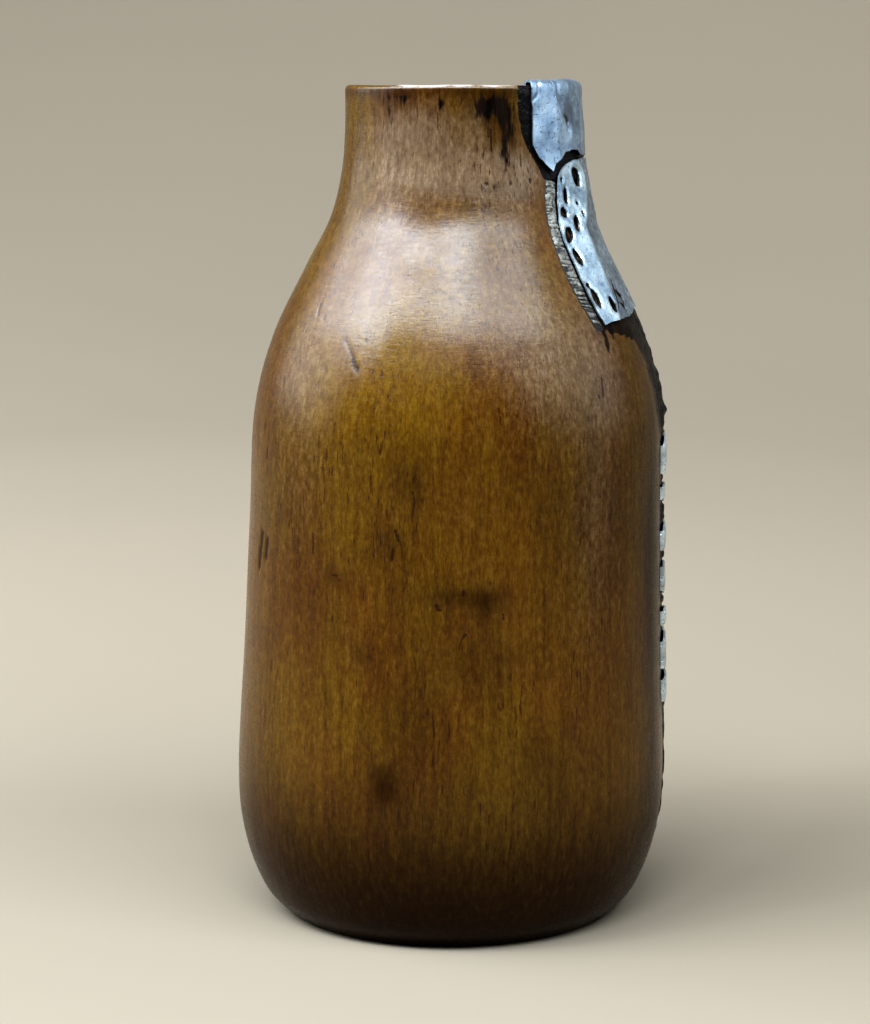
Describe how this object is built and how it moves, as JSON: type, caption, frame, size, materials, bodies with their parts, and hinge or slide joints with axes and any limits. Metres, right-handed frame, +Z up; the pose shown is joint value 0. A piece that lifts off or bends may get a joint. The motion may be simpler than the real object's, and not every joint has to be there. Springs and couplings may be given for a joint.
{
  "type": "wooden milk vessel",
  "caption": "Tall bottle-shaped wooden vessel with a short wide neck, its side crack filled with pitch and mended with aluminium patches and staples.",
  "frame": {"origin": "centre of the flat base that the vessel stands on", "axes": "+Z up through the neck; the front looks along -Y, and the mended crack is on the right side, towards +X"},
  "size_m": [0.1324, 0.1308, 0.2529],
  "materials": {
    "wood": "hand-polished, worn, semi-gloss",
    "aluminium": "dull hammered sheet",
    "pitch": "black, glossy in places",
    "putty": "dried, gritty"
  },
  "bodies": {
    "root": {"vessel_body": "wood", "crack_pitch": "pitch", "rim_pitch": "pitch", "putty_band_front": "putty", "putty_band_rear": "putty", "rim_patch": "aluminium", "shoulder_patch": "aluminium", "belly_staple_1": "aluminium", "belly_staple_2": "aluminium", "belly_staple_3": "aluminium", "belly_staple_4": "aluminium", "belly_staple_5": "aluminium", "belly_staple_6": "aluminium", "belly_staple_7": "aluminium"}
  },
  "joints": []
}
